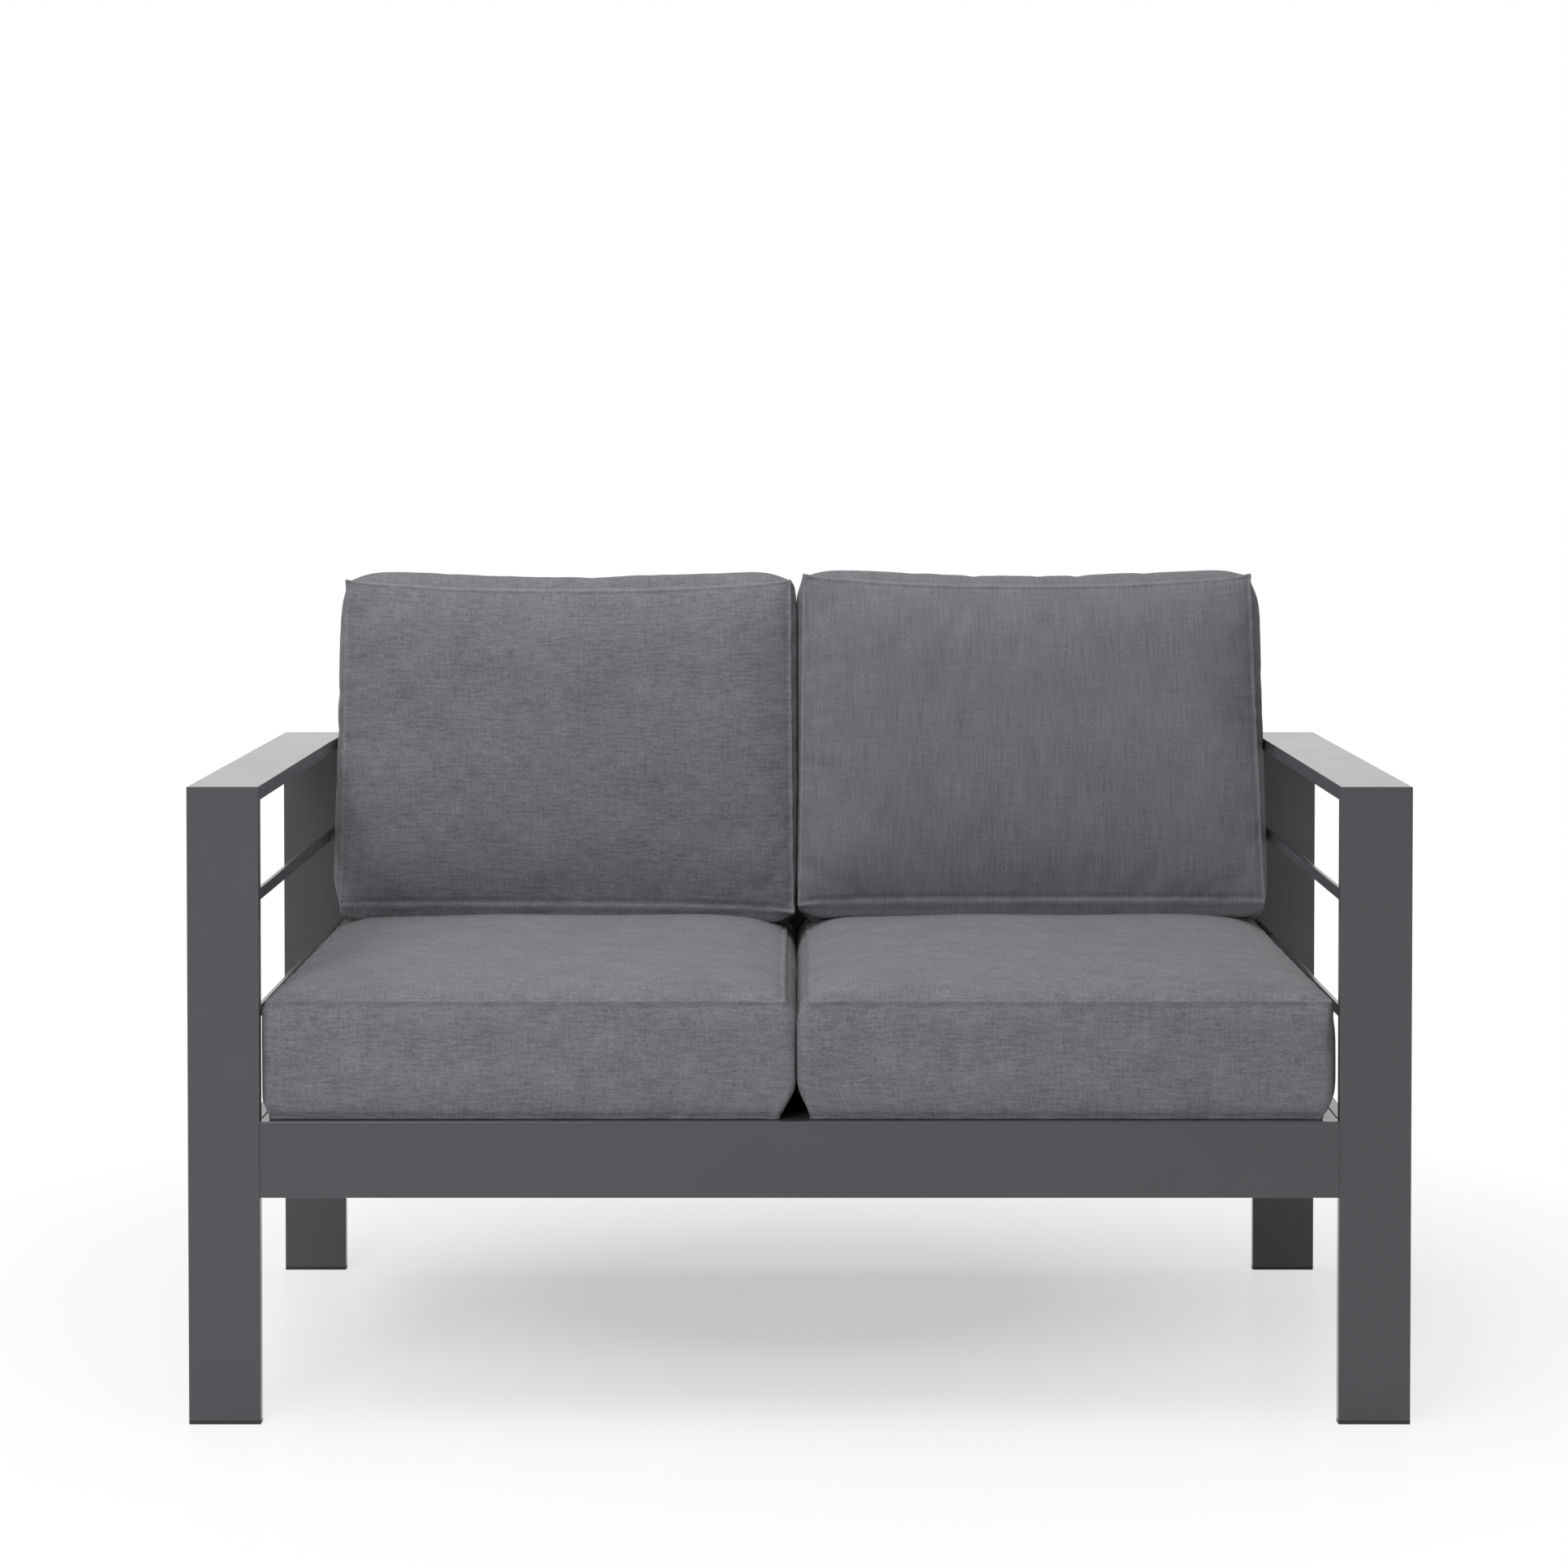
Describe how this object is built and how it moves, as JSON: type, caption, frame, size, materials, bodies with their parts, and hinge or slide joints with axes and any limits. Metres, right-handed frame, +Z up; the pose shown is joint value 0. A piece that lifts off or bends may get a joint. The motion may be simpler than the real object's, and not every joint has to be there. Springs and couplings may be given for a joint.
{
  "type": "patio loveseat",
  "caption": "Outdoor loveseat: flat-tube metal frame with wide flat armrests, slatted seat deck, loose box seat cushions and leaning back cushions.",
  "frame": {"origin": "on the floor, below the middle of the whole object's footprint", "axes": "+X to the right seen from the front, along the seat's width; +Y towards the backrest; +Z up"},
  "size_m": [1.275, 0.725, 0.8585],
  "materials": {
    "powder_coated_aluminium": "satin",
    "foot_plastic": "matte",
    "stainless_steel": "satin",
    "seat_fabric": "matte",
    "back_fabric": "matte",
    "foam": "matte",
    "zip_tape": "matte",
    "zip_metal": "satin"
  },
  "bodies": {
    "frame": {"front_leg_left": "powder_coated_aluminium", "rear_leg_left": "powder_coated_aluminium", "armrest_left": "powder_coated_aluminium", "side_rail_left": "powder_coated_aluminium", "side_bar_upper_left": "powder_coated_aluminium", "side_bar_lower_left": "powder_coated_aluminium", "foot_cap_front_left": "foot_plastic", "foot_cap_rear_left": "foot_plastic", "deck_end_left": "powder_coated_aluminium", "back_end_post_left": "powder_coated_aluminium", "back_bar_upper_left": "powder_coated_aluminium", "back_bar_lower_left": "powder_coated_aluminium", "front_leg_right": "powder_coated_aluminium", "rear_leg_right": "powder_coated_aluminium", "armrest_right": "powder_coated_aluminium", "side_rail_right": "powder_coated_aluminium", "side_bar_upper_right": "powder_coated_aluminium", "side_bar_lower_right": "powder_coated_aluminium", "foot_cap_front_right": "foot_plastic", "foot_cap_rear_right": "foot_plastic", "deck_end_right": "powder_coated_aluminium", "back_end_post_right": "powder_coated_aluminium", "back_bar_upper_right": "powder_coated_aluminium", "back_bar_lower_right": "powder_coated_aluminium", "front_rail": "powder_coated_aluminium", "rear_rail": "powder_coated_aluminium", "deck_beam": "powder_coated_aluminium", "back_top_rail": "powder_coated_aluminium", "back_centre_post": "powder_coated_aluminium", "seat_slat_1": "powder_coated_aluminium", "seat_slat_2": "powder_coated_aluminium", "seat_slat_3": "powder_coated_aluminium", "seat_slat_4": "powder_coated_aluminium", "seat_slat_5": "powder_coated_aluminium", "seat_slat_6": "powder_coated_aluminium", "seat_slat_7": "powder_coated_aluminium", "seat_slat_8": "powder_coated_aluminium", "seat_slat_9": "powder_coated_aluminium", "deck_bolts": "stainless_steel", "deck_washers": "stainless_steel", "deck_rivet_nuts": "stainless_steel", "back_bolts": "stainless_steel", "back_washers": "stainless_steel", "back_rivet_nuts": "stainless_steel"},
    "seat_cushion_left": {"seat_cover_left": "seat_fabric", "seat_foam_left": "foam", "seat_zip_left": "zip_tape"},
    "seat_zip_slider_left": {"seat_zip_slider_left": "zip_metal"},
    "seat_cushion_right": {"seat_cover_right": "seat_fabric", "seat_foam_right": "foam", "seat_zip_right": "zip_tape"},
    "seat_zip_slider_right": {"seat_zip_slider_right": "zip_metal"},
    "back_cushion_left": {"back_cover_left": "back_fabric", "back_foam_left": "foam", "back_zip_left": "zip_tape"},
    "back_zip_slider_left": {"back_zip_slider_left": "zip_metal"},
    "back_cushion_right": {"back_cover_right": "back_fabric", "back_foam_right": "foam", "back_zip_right": "zip_tape"},
    "back_zip_slider_right": {"back_zip_slider_right": "zip_metal"}
  },
  "joints": [
    {"name": "seat_cushion_left_lift", "type": "slide", "parent": "frame", "child": "seat_cushion_left", "axis": [0, 0, 1], "range_m": [0, 0.355]},
    {"name": "seat_zip_slider_left_travel", "type": "slide", "parent": "seat_cushion_left", "child": "seat_zip_slider_left", "axis": [1, 0, 0], "range_m": [0, 0.445]},
    {"name": "seat_cushion_right_lift", "type": "slide", "parent": "frame", "child": "seat_cushion_right", "axis": [0, 0, 1], "range_m": [0, 0.355]},
    {"name": "seat_zip_slider_right_travel", "type": "slide", "parent": "seat_cushion_right", "child": "seat_zip_slider_right", "axis": [-1, 0, 0], "range_m": [0, 0.445]},
    {"name": "back_cushion_left_lift", "type": "slide", "parent": "seat_cushion_left", "child": "back_cushion_left", "axis": [0, 0, 1], "range_m": [0, 0.215]},
    {"name": "back_zip_slider_left_travel", "type": "slide", "parent": "back_cushion_left", "child": "back_zip_slider_left", "axis": [1, 0, 0], "range_m": [0, 0.445]},
    {"name": "back_cushion_right_lift", "type": "slide", "parent": "seat_cushion_right", "child": "back_cushion_right", "axis": [0, 0, 1], "range_m": [0, 0.215]},
    {"name": "back_zip_slider_right_travel", "type": "slide", "parent": "back_cushion_right", "child": "back_zip_slider_right", "axis": [-1, 0, 0], "range_m": [0, 0.445]}
  ]
}
